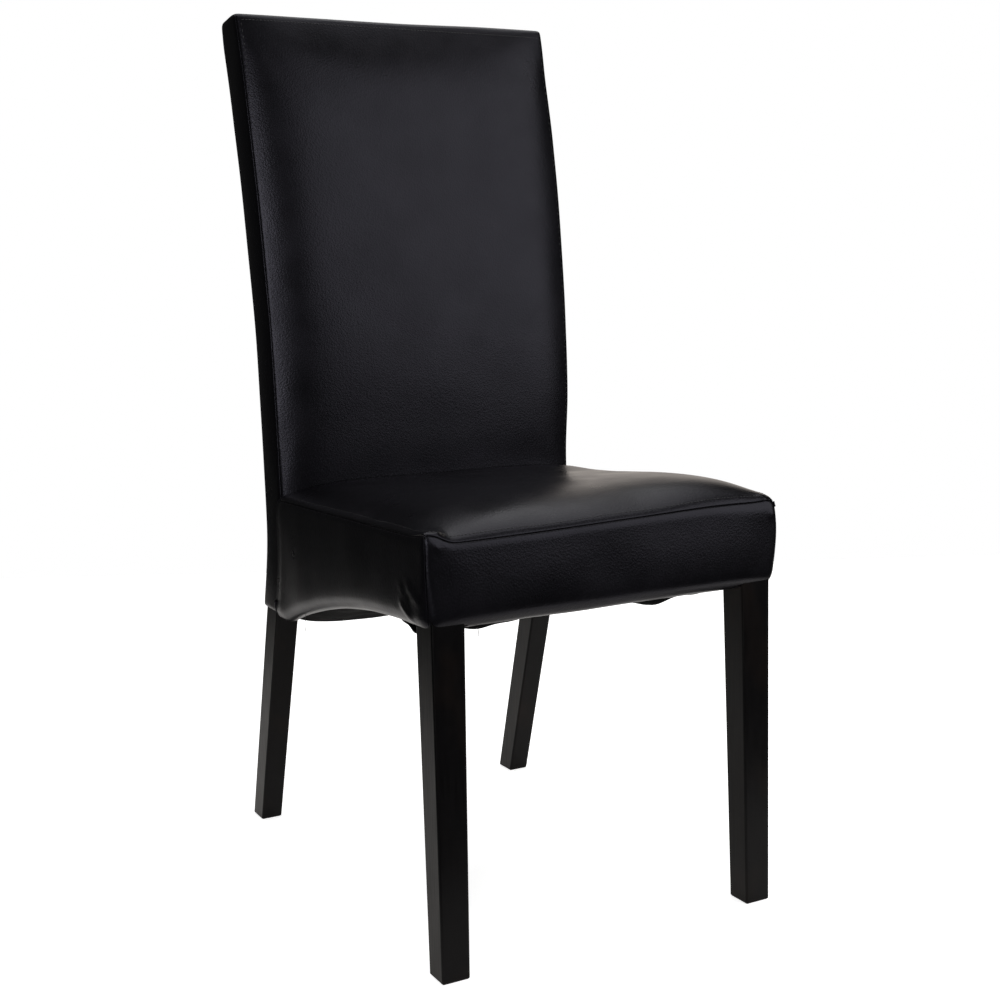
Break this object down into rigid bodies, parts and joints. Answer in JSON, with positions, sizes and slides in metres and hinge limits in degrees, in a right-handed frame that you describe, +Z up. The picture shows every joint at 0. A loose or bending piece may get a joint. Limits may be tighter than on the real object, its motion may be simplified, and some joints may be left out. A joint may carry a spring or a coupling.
{
  "type": "parsons chair",
  "caption": "Upholstered parsons chair with a tall bent back and a crowned seat in black coated fabric, on a tenoned wooden frame with square tapered legs and raked rear posts.",
  "frame": {"origin": "On the floor, in the middle of the chair's footprint: half way between its sides, and half way between the front of the seat and the rear of the rear feet.", "axes": "+Z is up. +X is the chair's width, towards the right-hand side of someone who looks at its front, and the chair is symmetric about X = 0. +Y runs from the front of the seat to the back."},
  "size_m": [0.43, 0.5996, 1.04],
  "materials": {
    "lacquered_wood": "satin black lacquer",
    "frame_wood": "planed, unfinished",
    "screw_steel": "zinc plated",
    "staple_steel": "bare wire",
    "webbing": "woven",
    "foam": "open cells",
    "wadding": "matted fibre",
    "card": "plain",
    "cover": "fine grain, satin",
    "dust_cloth": "non-woven"
  },
  "bodies": {
    "root": {"back_bottom_rail": "frame_wood", "back_card": "card", "back_foam": "foam", "back_front_cover": "cover", "back_middle_rail": "frame_wood", "back_rear_cover": "cover", "back_rear_wadding": "wadding", "back_side_band_left": "cover", "back_side_band_right": "cover", "back_side_wadding_left": "wadding", "back_side_wadding_right": "wadding", "back_top_band": "cover", "back_top_rail": "frame_wood", "back_webbing": "webbing", "corner_block_front_left": "frame_wood", "corner_block_front_right": "frame_wood", "corner_block_rear_left": "frame_wood", "corner_block_rear_right": "frame_wood", "corner_block_screws": "screw_steel", "dust_cover": "dust_cloth", "dust_cover_staples": "staple_steel", "front_leg_left": "lacquered_wood", "front_leg_right": "lacquered_wood", "rear_post_left": "lacquered_wood", "rear_post_right": "lacquered_wood", "rear_tack_rail": "frame_wood", "seat_border_wadding": "wadding", "seat_foam": "foam", "seat_front_border": "cover", "seat_front_rail": "frame_wood", "seat_rear_rail": "frame_wood", "seat_side_border_left": "cover", "seat_side_border_right": "cover", "seat_side_rail_left": "frame_wood", "seat_side_rail_right": "frame_wood", "seat_top_cover": "cover", "seat_webbing_cross": "webbing", "seat_webbing_long": "webbing", "webbing_staples": "staple_steel"}
  },
  "joints": []
}
